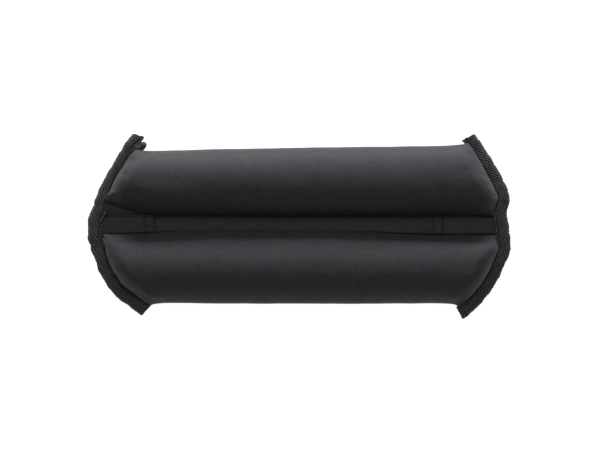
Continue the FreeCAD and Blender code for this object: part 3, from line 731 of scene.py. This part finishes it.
def puckered(grid, flat, c):  # small gathers where the cover is sewn down
    normal = gridNormals(grid)
    x, y = grid[..., 0], grid[..., 1]
    nearTape = np.exp(-flat / 6.5) * smoothStep(0.0, 1.5, flat)
    gathers = tubes["pucker"] * nearTape * ripple(5, y + 0.3 * x, 11.0)
    deep = 0.5 * np.exp(-flat / 13.0) * ripple(8, y * 0.8 - x * 0.2, 19.0) * smoothStep(0, 3, flat)
    stitched = np.zeros_like(x)
    for centre in crossCentres:
        near = np.exp(-((x - centre) / 9.0) ** 2)
        stitched += near * np.exp(-(grid[..., 2] - bandTop) ** 2 / 90.0) * (c < 0)
    gathers += 0.28 * stitched * np.sin((x - crossCentres[0]) * 2 * math.pi / 3.5)
    gathers -= 0.5 * stitched
    return grid + normal * (gathers + deep)[..., None]


tubeGrids = {}
for side, filled in zip((1, -1), filledTubes):
    _, flat, c, s = rawTubes[side]
    tubeGrids[side] = restOnFloor(puckered(filled, flat, c))


strip = {
    "halfWidth": 9.4,
    "crown": 0.5,
    "seamDepth": 0.75,
    "crossHalf": 3.5,  # from the middle of a pair of cross stitches to each row
    "crossDepth": 0.95,
    "crossPuff": 0.45,
    "lead": 7,  # the length over which it rises or falls into the tape
}


def bandGrid():  # the flat strip between the tubes, into the tape at both ends
    low = bandLow[2] + 0.15
    left = innerEdge(-1, 0.0, 4.0)
    right = innerEdge(1, 0.0, 4.0)
    across = np.linspace(-1, 1, 61)
    y = across * strip["halfWidth"] + tubes["bandShift"]
    crown = strip["crown"] * (1 - across ** 2)
    seam = hump(np.abs(across) * strip["halfWidth"], tubes["seamHalf"] - 0.25, 0.8)
    between = np.abs(across) < 0.8
    rows = []
    for x in np.linspace(left, right, 401):
        z = bandTop - 0.25 + crown - strip["seamDepth"] * seam + 0.16 * ripple(31, x + 4 * y, 37.0)
        crease = tubes["bandShift"] - tubes["seamHalf"] + 0.56 * tubes["bulge"][-1] * leaning(x)
        z = z - tubes["groove"] * hump(y, crease - 0.1, 0.75)
        for centre in crossCentres:
            for row in (-strip["crossHalf"], strip["crossHalf"]):
                z = z - strip["crossDepth"] * hump(x, centre + row, 0.8) * between
            z = z + strip["crossPuff"] * hump(x, centre, 2.0) * between
        into = smoothStep(0, 1, max(left - x, x - right) / strip["lead"] + 1)
        z = z + (tapeMidZ + 1.7 - z) * into
        rows.append(slab(x, y, z, low + (tapeMidZ - 1.7 - low) * into))
    return np.array(rows)


gusset = {
    "end": -104,  # where it runs out along the seam
    "widest": 15.5,  # at the tape
    "under": 2.5,  # how far it goes in under the tube
    "rise": 1.6,
}


def gussetGrid():  # the flat fold at the left end, above the upper seam
    left = innerEdge(-1, 15.0, 4.0)
    seamY = tubes["seamHalf"] + tubes["bandShift"] + 0.2
    rise = np.linspace(0, 1, 21)
    rows = []
    for share in np.linspace(0, 1, 60):
        x = left + (gusset["end"] - left) * share
        reach = seamY + gusset["under"] + gusset["widest"] * (1 - share) ** 1.3
        y = np.linspace(seamY - 0.8, reach, len(rise))
        z = bandTop + 0.3 + gusset["rise"] * np.sin(rise * math.pi * 0.8) * (1 - share) ** 0.6
        z = z - 0.8 * hump(y, seamY, 0.8) + 0.15 * np.sin(x / 2.4 + y / 3)
        z = z + (tapeMidZ + 1.6 - z) * smoothStep(6, 0, x - left)
        rows.append(slab(x, y, z, bandTop - 1.6))
    return np.array(rows)


flange = {
    "between": (46, 64.5),  # from the band's middle line
    "middle": 8.1,  # in from the tape's fold
    "half": 5.1,
    "halfThick": 1.7,
}


def flangeGrid(side, end):  # the sewn-flat edge of a tube, beside the tape's corner
    path, normal = outlines[end]
    nearest, farthest = flange["between"]
    keep = (side * path[:, 1] > nearest) & (side * path[:, 1] < farthest)
    path, normal = path[keep][::3], normal[keep][::3]
    turn = np.linspace(0, 2 * math.pi, 20, endpoint=False)
    reach = flange["middle"] + flange["half"] * np.sign(np.cos(turn)) * np.abs(np.cos(turn)) ** 0.6
    reach = reach - slimming(end, side * 50.0)
    z = flangeMid + flange["halfThick"] * np.sign(np.sin(turn)) * np.abs(np.sin(turn)) ** 0.8
    flatPoints = path[:, None] + normal[:, None] * reach[None, :, None]
    return np.concatenate([flatPoints, np.broadcast_to(z[None, :, None], (*flatPoints.shape[:2], 1))], axis=2)


tuft = {"middle": (-116.6, 57.6, 19.6), "long": 5.4, "wide": 3.1, "high": 3.0, "heading": 0.62}


def tuftGrid():  # the end of the seam allowance, standing out below the tape's corner
    turn = np.linspace(0, 2 * math.pi, 24, endpoint=False)
    along = np.sin(np.linspace(-math.pi / 2, math.pi / 2, 24) * 0.985)
    heading = np.array([math.cos(tuft["heading"]), math.sin(tuft["heading"]), 0.0])
    aside = np.array([-heading[1], heading[0], 0.0])
    rows = []
    for t in along:
        size = math.sqrt(1 - t * t) ** 0.8
        dent = 1 - 0.18 * math.exp(-((t - 0.1) / 0.3) ** 2) * np.clip(np.sin(turn), 0, 1)
        rows.append(np.array(tuft["middle"]) + heading * t * tuft["long"]
                    + aside * (tuft["wide"] * size * np.cos(turn) * dent)[:, None]
                    + np.array([0, 0, 1]) * (tuft["high"] * size * np.sin(turn) * dent)[:, None])
    return np.array(rows)


def sliced(grid, normals, weave, low, high):  # the rows of a long grid between two stations
    middle = grid[..., 0].mean(axis=1)
    inside = np.where((middle >= low - 1e-6) & (middle <= high + 1e-6))[0]
    first, last = inside[0], inside[-1]
    if low > -splitX - 1:
        first = int(np.argmin(np.abs(middle - low)))
    if high < splitX + 1:
        last = int(np.argmin(np.abs(middle - high)))
    return grid[first:last + 1], normals[first:last + 1], weave[first:last + 1]


longTubes = []
for side in (1, -1):
    fine = refined(tubeGrids[side], closed=True)
    longTubes.append((fine, gridNormals(fine), weaveOf(fine)))
band = bandGrid()
longBand = (band, gridNormals(band), weaveOf(band))

coverSpans = {
    "endLeft": (-400.0, -splitX, ["left_end"]),
    "left": (-splitX, 0.0, ["left_mid", "centre"]),
    "right": (0.0, splitX, ["right_mid", "centre"]),
    "endRight": (splitX, 400.0, ["right_end"]),
}
for span, (low, high, bodies) in coverSpans.items():
    shell = Shell()
    for longTube in longTubes:
        shell.tube(*sliced(*longTube, low, high))
    if span == "endLeft":
        shell.tube(tuftGrid())
    if span.startswith("end"):
        for side in (1, -1):
            shell.tube(flangeGrid(side, 1 if high > 0 else -1))
    cover = shell.build("cover_" + span, neoprene)
    bendWith(cover, span)
    for layer in ("tube_covers", "sand_bags", "iron_sand"):
        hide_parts(*[f"{layer}_{body}" for body in bodies])
    shell = Shell()
    shell.tube(*sliced(*longBand, low, high))
    if span == "endLeft":
        shell.tube(gussetGrid())
    piece = shell.build("centre_strip_" + span, neoprene)
    bendWith(piece, span, flat=True)
    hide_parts(*["centre_band_" + body for body in bodies])
print("covers made")


def tapeProfile():  # reach in from the fold, and height from 1 above to -1 below, round the outer face
    turn = tape["legTurn"]
    leg = np.linspace(tape["depth"], turn, tape["legPoints"])
    bend = np.linspace(0, math.pi, tape["foldPoints"] + 2)[1:-1]
    outer = [(reach, 1.0) for reach in leg]
    outer += [(turn - turn * math.sin(angle), math.cos(angle)) for angle in bend]
    outer += [(reach, -1.0) for reach in leg[::-1]]
    return np.array(outer).T


def tapeGrid(side):  # the folded tape's outer face and, with fewer points, its lining
    path, normal = outlines[side]
    distance = arcLengths(path)
    depth, wall = tape["depth"], tape["wall"]
    flat, height = tapeProfile()
    profileLength = arcLengths(np.stack([flat, height * halfTapeZ], axis=1))
    turned = side * (profileLength - profileLength[-1] / 2)
    onLeg = smoothStep(tape["legTurn"], depth, flat)
    crown = tape["crown"] * (1 - ((flat - depth * 0.42) / (depth * 0.58)) ** 2)
    stitched = np.exp(-((flat - depth + tape["stitchInset"]) / 0.9) ** 2)
    pull = tape["edgeRoll"] * smoothStep(depth - 1.3, depth - 0.3, flat) - tape["stitchPull"] * stitched
    outward = np.where(np.abs(height) > 0.6, np.sign(height), height)
    rows = []
    for point, inwards, run in zip(path, normal, distance):
        slack = 0.55 * ripple(41 + side, run, 21.0) + 0.35 * ripple(51 + side, run, 8.5)
        slack = slack - slimming(side, point[1])
        wrinkle = 0.30 * ripple(61 + side, run + 2.0 * flat, 9.0) + 0.3 * ripple(71, run, 26.0) + crown
        radial = wrinkle * 0.6 * (1 - stitched) + pull
        overStrap = (height < 0) * (1 - smoothStep(*tape["strapRoom"], abs(point[1])))
        radial = radial - np.maximum(radial, -0.1) * overStrap
        rib = tape["ribHeight"] * np.sin((run + turned * tape["ribLean"]) * 2 * math.pi / tape["ribPitch"])
        reach = flat + slack * onLeg - (1 - onLeg) * (0.35 * ripple(81 + side, run, 13.0))
        reach = reach - rib * (1 - np.abs(height))
        z = tapeMidZ + height * halfTapeZ + (radial + rib) * outward
        face = np.column_stack([point + inwards * reach[:, None], z])
        reach = np.maximum(flat, wall + 0.2) + slack * onLeg
        z = tapeMidZ + height * (halfTapeZ - wall) + radial * np.sign(height) * 0.8
        lining = np.column_stack([point + inwards * reach[:, None], z])[::-1][::4]
        rows.append(np.concatenate([face, lining]))
    grid = np.array(rows)
    cutEnds(grid, side, path, normal, distance)
    across = np.concatenate([turned, np.zeros(grid.shape[1] - len(turned) + 1)])
    return grid, np.stack(np.broadcast_arrays(distance[:, None], across), axis=-1)


def cutEnds(grid, side, path, normal, distance):  # slants, frays and curls the tape's cut ends
    tangent = tangents(path)
    for end in (1, -1):
        fromEnd = distance[-1] - distance if end > 0 else distance
        near = np.exp(-fromEnd / tape["cutLength"])[:, None]
        reach = ((grid[..., :2] - path[:, None]) * normal[:, None]).sum(-1) - 4
        slide = near * (reach * tape["endLean"][side, end] * end + 0.5 * ripple(91 + end, reach, 5.0))
        grid[..., :2] += tangent[:, None] * slide[..., None]
        grid[..., 2] += near * 0.5 * np.sin(reach / 2.6 + side)


tapeGrids = {}
for side, place in ((-1, "left"), (1, "right")):
    grid, weave = tapeGrid(side)
    tapeGrids[side] = grid
    shell = Shell()
    shell.tube(grid, None, weave)
    piece = shell.build("binding_tape_" + place, twillTape)
    bendWith(piece, "endLeft" if side < 0 else "endRight")
    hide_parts("end_binding_" + place)
print("tape made")


def socketNamed(tree, name):
    return next(item.identifier for item in tree.interface.items_tree if item.name == name)


def makeStitchRule():  # stitches lie end to end along each line of points
    rule = Rule("stitchesAlongLine", {"Geometry": "Geometry", "Pitch": "Float", "Stitch Size": "Vector",
                                      "Unevenness": "Float", "Seed": "Int", "Thread": "Material"})
    curve = rule.add("GeometryNodeMeshToCurve", None, {"Mesh": rule.given("Geometry")})
    points = rule.add("GeometryNodeResampleCurve", {"mode": "LENGTH"},
                      {"Curve": curve, "Length": rule.given("Pitch")})
    turn = rule.add("FunctionNodeAlignRotationToVector", {"axis": "X"},
                    {"Vector": rule.add("GeometryNodeInputTangent")})
    unevenness = rule.given("Unevenness")
    wobble = rule.add("FunctionNodeRandomValue", {"data_type": "FLOAT"},
                      {2: 1 - unevenness, 3: unevenness + 1, "Seed": rule.given("Seed")}, output=1)
    size = rule.add("ShaderNodeVectorMath", {"operation": "SCALE"},
                    {0: rule.given("Stitch Size"), "Scale": wobble})
    grain = rule.add("GeometryNodeMeshIcoSphere", None, {"Radius": 0.5, "Subdivisions": 2})
    placed = rule.add("GeometryNodeInstanceOnPoints", None,
                      {"Points": points, "Instance": grain, "Rotation": turn, "Scale": size})
    return rule.finish(placed, rule.given("Thread"), smooth=True)


stitchRule = makeStitchRule()


def applied(carrier, name, tree, values):  # the plain mesh that a tree makes from a carrier
    modifier = carrier.modifiers.new("rule", "NODES")
    modifier.node_group = tree
    for key, value in values.items():
        modifier[socketNamed(tree, key)] = value
    bpy.context.view_layer.update()
    result = carrier.evaluated_get(bpy.context.evaluated_depsgraph_get())
    mesh = bpy.data.meshes.new_from_object(result)
    mesh.name = name
    carrier.modifiers.clear()
    bpy.data.objects.remove(carrier)
    return placed(name, mesh)


def stitchesAlong(name, lines, thread, size, pitch, seed=1, unevenness=0.08):
    points, edges = [], []
    for line in lines:
        start = len(points)
        points.extend(line)
        edges.extend([(start + k, start + k + 1) for k in range(len(line) - 1)])
    carrier = placed(name + "Line", meshOf(name + "Line", points, edges, []))
    values = {"Pitch": pitch * mm, "Stitch Size": tuple(v * mm for v in size),
              "Unevenness": unevenness, "Seed": seed, "Thread": thread}
    return applied(carrier, name, stitchRule, values)


tapeStitch = {"size": (3.1, 0.62, 0.5), "pitch": 3.6}
for side, place in ((-1, "left"), (1, "right")):
    grid = tapeGrids[side]
    flat = tapeProfile()[0]
    column = int(np.argmin(np.abs(flat[:tape["legPoints"]] - (tape["depth"] - tape["stitchInset"]))))
    top = grid[6:-6, column] + np.array([0, 0, 0.02])
    bottom = grid[6:-6, len(flat) - 1 - column] - np.array([0, 0, 0.02])
    piece = stitchesAlong("tape_stitches_" + place, [top, bottom], tapeThread,
                          tapeStitch["size"], tapeStitch["pitch"], seed=3)
    bendWith(piece, "endLeft" if side < 0 else "endRight")
    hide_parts("binding_stitches_" + place)

seam = {"size": (2.7, 0.6, 0.45), "pitch": 3.1, "inset": 7.7}
webbingBottom = nodeBox("strap_centre")[0][2]
for span, (low, high, bodies) in coverSpans.items():
    lines = []
    reachLeft, reachRight = innerEdge(-1, 0.0, tape["depth"] + 0.6), innerEdge(1, 0.0, tape["depth"] + 0.6)
    start, end = max(low, reachLeft), min(high, reachRight)
    x = np.arange(start + seam["pitch"] / 2, end, 2.0)
    for direction in (1, -1):
        y = tubes["bandShift"] + direction * seam["inset"]
        lines.append(lineAt(x, y, bandTop - 0.45))
    start = max(low, nodeBox("strap_left_end")[0][0] + 1)
    end = min(high, nodeBox("strap_right_end")[1][0] - 1)
    x = np.arange(start + seam["pitch"] / 2, end, 2.0)
    for direction in (1, -1):
        lines.append(lineAt(x, direction * seam["inset"], webbingBottom - 0.05))
    piece = stitchesAlong("seam_stitches_" + span, lines, darkThread, seam["size"], seam["pitch"], seed=5)
    bendWith(piece, span, flat=True)
    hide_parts(*["seam_stitches_" + body for body in bodies])

bar = {"size": (2.3, 0.75, 0.5), "pitch": 2.35}
for place, (low, high) in crossX.items():
    lines = []
    for x in (low[0] + 0.45, high[0] - 0.45):
        lines.append(lineAt(x, np.linspace(-8.4, 8.6, 12) + tubes["bandShift"], bandTop - 0.32))
        lines.append(lineAt(x, np.linspace(-6.6, 6.6, 12), low[2] + 0.2))
    piece = stitchesAlong("cross_stitches_bars_" + place, lines, darkThread,
                          bar["size"], bar["pitch"], seed=7)
    bendWith(piece, "endLeft" if place == "left" else "endRight", flat=True)
    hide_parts("cross_stitches_" + place)
print("stitches made")


strapLook = {"rib": 0.05, "ribPitch": 1.3, "step": 0.33, "sag": 1.3}


def hanging(x):  # how far the folded tail hangs below its straight line
    return strapLook["sag"] * smoothStep(foldX - 2, foldX - 30, x)


def webbingGrid(path, width, thickness):  # a flat strap along points in the XZ plane
    path = np.asarray(path, float)
    distance = arcLengths(path)
    stations = np.linspace(0, distance[-1], max(4, int(distance[-1] / strapLook["step"])))
    x, z = (np.interp(stations, distance, path[:, k]) for k in (0, 1))
    tangent = np.stack([np.gradient(x, stations), np.gradient(z, stations)], axis=1)
    tangent /= np.linalg.norm(tangent, axis=1, keepdims=True)
    normal = np.stack([-tangent[:, 1], tangent[:, 0]], axis=1)
    half, thick = width / 2, thickness / 2
    flat = np.linspace(-half + 0.7, half - 0.7, 15)
    edge = np.array([-0.28, 0.0, 0.28])
    profile = [(y, thick) for y in flat]
    profile += [(half - 0.1 + 0.1 * math.cos(a * 5), -a * 2 * thick) for a in edge]
    profile += [(y, -thick) for y in flat[::-1]]
    profile += [(-half + 0.1 - 0.1 * math.cos(a * 5), a * 2 * thick) for a in edge]
    profile = np.array(profile)
    rib = strapLook["rib"] * np.sin(stations * 2 * math.pi / strapLook["ribPitch"])
    offset = profile[:, 1][None] + rib[:, None] * np.sign(profile[:, 1])[None]
    grid = np.zeros((len(stations), len(profile), 3))
    grid[..., 0] = x[:, None] + normal[:, 0:1] * offset
    grid[..., 1] = profile[:, 0][None] + 0.12 * ripple(3, stations, 31.0)[:, None]
    grid[..., 2] = z[:, None] + normal[:, 1:2] * offset
    return grid


def gridPiece(name, grid, material):
    shell = Shell()
    shell.tube(grid)
    return shell.build(name, material)


def webbingPiece(name, path):
    return gridPiece(name, webbingGrid(path, strapWidth, strapThickness), webbing)


strapBoxes = {place: nodeBox("strap_" + place) for place in ("left_end", "right_end", "centre")}
strapZ = (strapBoxes["centre"][0][2] + strapBoxes["centre"][1][2]) / 2
strapThickness = strapBoxes["centre"][1][2] - strapBoxes["centre"][0][2]
strapWidth = strapBoxes["centre"][1][1] * 2
strapStart, strapEnd = strapBoxes["left_end"][0][0], strapBoxes["right_end"][1][0]
for span, (low, high, bodies) in coverSpans.items():
    start, end = max(low, strapStart), min(high, strapEnd - 0.05)
    piece = webbingPiece("strap_" + span, [(start, strapZ), (end, strapZ)])
    bendWith(piece, span, flat=True)
    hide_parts(*["strap_" + body for body in bodies])

tailLow, tailHigh = nodeBox("strap_tail")
tailZ = (tailLow[2] + tailHigh[2]) / 2
foldX = tailHigh[0]
foldZ = (strapZ + tailZ) / 2
foldRadius = (strapZ - tailZ) / 2
turns = np.linspace(math.pi / 2, -math.pi / 2, 25)
foldPath = [(foldX + foldRadius * math.cos(a), foldZ + foldRadius * math.sin(a)) for a in turns]
fold = webbingPiece("strap_fold_turn", foldPath)
reach = foldRadius + strapThickness / 2
(foldZ + reach) * mm
(foldZ - reach) * mm
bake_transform(fold)
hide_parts("strap_fold")

tipLow, tipHigh = nodeBox("tail_tip")
tailPath = [(x, tailZ - hanging(x)) for x in np.linspace(tailHigh[0] - 0.05, tailLow[0], 120)]
tail = webbingPiece("strap_tail_run", tailPath)
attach(tail, "strap_tail")
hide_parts("strap_tail")


def tipGrid():  # the tail's end: turned over, cut to a blunt point, a little swollen
    full = webbingGrid([(tipHigh[0], tailZ), (tipLow[0] + 0.2, tailZ)], strapWidth, tipHigh[2] - tipLow[2])
    rows = len(full)
    share = np.linspace(0, 1, rows)
    narrow = 1 - 0.5 * smoothStep(0.3, 1.0, share) ** 1.2
    swell = 0.72 + 0.28 * smoothStep(0.0, 0.12, share)
    full[..., 1] *= narrow[:, None]
    full[..., 2] = tailZ - strapLook["sag"] + (full[..., 2] - tailZ) * swell[:, None]
    return full


tip = gridPiece("tail_tip_fold", tipGrid(), webbing)
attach(tip, "strap_tail")
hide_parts("tail_tip")

tipTop, tipBottom = tipHigh[2] + 0.05 - strapLook["sag"], tipLow[2] - 0.05 - strapLook["sag"]
tipLines = []
for z in (tipTop, tipBottom):
    for x in (tipHigh[0] - 1.4, tipHigh[0] - 3.6):
        tipLines.append(lineAt(x, np.linspace(-8.2, 8.2, 12), z))
tipStitches = stitchesAlong("tail_tip_stitches", tipLines, darkThread, (2.0, 0.6, 0.4), 2.3, seed=9)
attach(tipStitches, "strap_tail")

tabHigh = nodeBox("ring_tab")[1]
ringLow, ringHigh = nodeBox("ring")
wire = ringHigh[2] - ringLow[2]
barX, barZ = joints["ring_swing"]["pos_m"][0] / mm, joints["ring_swing"]["pos_m"][2] / mm
loop = wire / 2 + 0.3 + strapThickness / 2


def tabPath():  # along the lower leg, round the ring's bar and back along the upper leg
    turnX = nodeBox("cross_stitches_left")[0][0] - 0.5
    upper = strapZ
    lower = strapZ - strapThickness - 0.3
    slope = math.atan2((upper + lower) / 2 - barZ, turnX - barX)
    leg = np.array([math.cos(slope), math.sin(slope)])
    side = np.array([-math.sin(slope), math.cos(slope)]) * loop
    bar = np.array([barX, barZ])
    points = [(tabHigh[0], lower)]
    for level, direction in ((lower, -1), (upper, 1)):
        ease = [np.array([turnX + t, level]) for t in (4.0, 2.0, 1.0)]
        bend = [np.array([turnX, level - 0.15]), np.array([turnX - 1.5, level - 0.55])]
        if direction < 0:
            points += [*ease, *bend, bar - side + leg * 4, bar - side]
            angles = np.linspace(slope - math.pi / 2, slope - 3 * math.pi / 2, 22)
            points += [bar + loop * np.array([math.cos(a), math.sin(a)]) for a in angles]
        else:
            points += [bar + side + leg * 4, *bend[::-1], *ease[::-1]]
    points.append((tabHigh[0], upper))
    return points


tab = webbingPiece("ring_tab_webbing", tabPath())
bendWith(tab, "endLeft", flat=True)
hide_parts("ring_tab")

hook = {"rows": 11, "pitch": 1.25, "height": 1.1, "width": 0.42, "seed": 4}


def makeHookRule():  # a small bent hook on every point
    rule = Rule("hookRows", {"Geometry": "Geometry", "Hook Size": "Vector", "Seed": "Int",
                             "Nylon": "Material"})
    cone = rule.add("GeometryNodeMeshCone", None,
                    {"Vertices": 6, "Radius Top": 0.28, "Radius Bottom": 0.5, "Depth": 1.0})
    turn = rule.add("FunctionNodeRandomValue", {"data_type": "FLOAT_VECTOR"},
                    {0: (0.15, -0.15, -0.6), 1: (0.5, 0.15, 0.6), "Seed": rule.given("Seed")})
    placed = rule.add("GeometryNodeInstanceOnPoints", None,
                      {"Points": rule.given("Geometry"), "Instance": cone, "Rotation": turn,
                       "Scale": rule.given("Hook Size")})
    return rule.finish(placed, rule.given("Nylon"), smooth=False)


hookLow, hookHigh = nodeBox("hook_patch")
hookX = np.arange(hookLow[0] + 1.2, hookHigh[0] - 1.0, hook["pitch"])
hookY = np.linspace(hookLow[1] + 1.0, hookHigh[1] - 1.0, hook["rows"])
hookPoints = [(x, y, hookLow[2] + 0.55 - hanging(x)) for x in hookX for y in hookY]
carrier = placed("hookPoints", meshOf("hookPoints", hookPoints, [], []))
hooks = applied(carrier, "hook_rows", makeHookRule(), {
    "Hook Size": (hook["width"] * mm, hook["width"] * mm, hook["height"] * mm * 0.8),
    "Seed": hook["seed"], "Nylon": hookNylon})
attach(hooks, "strap_tail")
basePath = [(x, hookLow[2] + 0.2 - hanging(x)) for x in np.linspace(hookHigh[0], hookLow[0], 120)]
hookBase = gridPiece("hook_tape_base", webbingGrid(basePath, hookHigh[1] * 2, 0.4), hookNylon)
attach(hookBase, "strap_tail")
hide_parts("hook_patch")

ring = frame["nodes"]["ring"]
ring.data.materials.clear()
ring.data.materials.append(steelWire)
print("strap and ring made")


studio = {
    "floor": 8.0,
    "distance": 2.6,
    "viewWidth": 0.4398,  # the width seen across the cuff's middle height
    "aimX": 0.0007,
    "aimY": 0.0007,
    "key": {"place": (0.0, 1.45, 0.197), "size": (1.6, 0.27), "power": 37.5},
    "fill": {"place": (0.0, 0.85, 2.8), "size": (2.0, 2.0), "power": 35.0},
    "worldLight": 0.05,
    "floorGlow": 0.98,
}


def makeFloor():
    bpy.ops.mesh.primitive_plane_add(size=studio["floor"], location=(0, 0, 0))
    floor = bpy.context.object
    floor.name = "floor"
    cloth = Cloth("paleFloor")
    glow = colour(1, 1, 1)
    floor.data.materials.append(cloth.finish(Base_Color=colour(0.35, 0.35, 0.35), Roughness=0.9,
                                             Emission_Color=glow, Emission_Strength=studio["floorGlow"]))


def areaLight(name, place, aim, size, power):
    light = bpy.data.lights.new(name, "AREA")
    light.shape = "RECTANGLE"
    light.size, light.size_y = size
    light.energy = power
    lamp = placed(name, light)
    lamp.location = place
    lamp.rotation_euler = (Vector(aim) - Vector(place)).to_track_quat("-Z", "Y").to_euler()


def makeCamera():
    camera = bpy.data.cameras.new("camera")
    camera.sensor_width = 36
    middle = 0.021
    camera.lens = 36 * (studio["distance"] - middle) / studio["viewWidth"]
    camera.clip_end = 20
    holder = placed("camera", camera)
    holder.location = (studio["aimX"], studio["aimY"], studio["distance"])
    bpy.context.scene.camera = holder


makeFloor()
for lampName in ("key", "fill"):
    lamp = studio[lampName]
    areaLight(lampName, lamp["place"], (0, 0, 0.02), lamp["size"], lamp["power"])
world = bpy.data.worlds.new("studio")
world.use_nodes = True
world.node_tree.nodes["Background"].inputs["Color"].default_value = (1, 1, 1, 1)
world.node_tree.nodes["Background"].inputs["Strength"].default_value = studio["worldLight"]
bpy.context.scene.world = world
bpy.context.scene.view_settings.view_transform = "Standard"
makeCamera()
print("studio made")
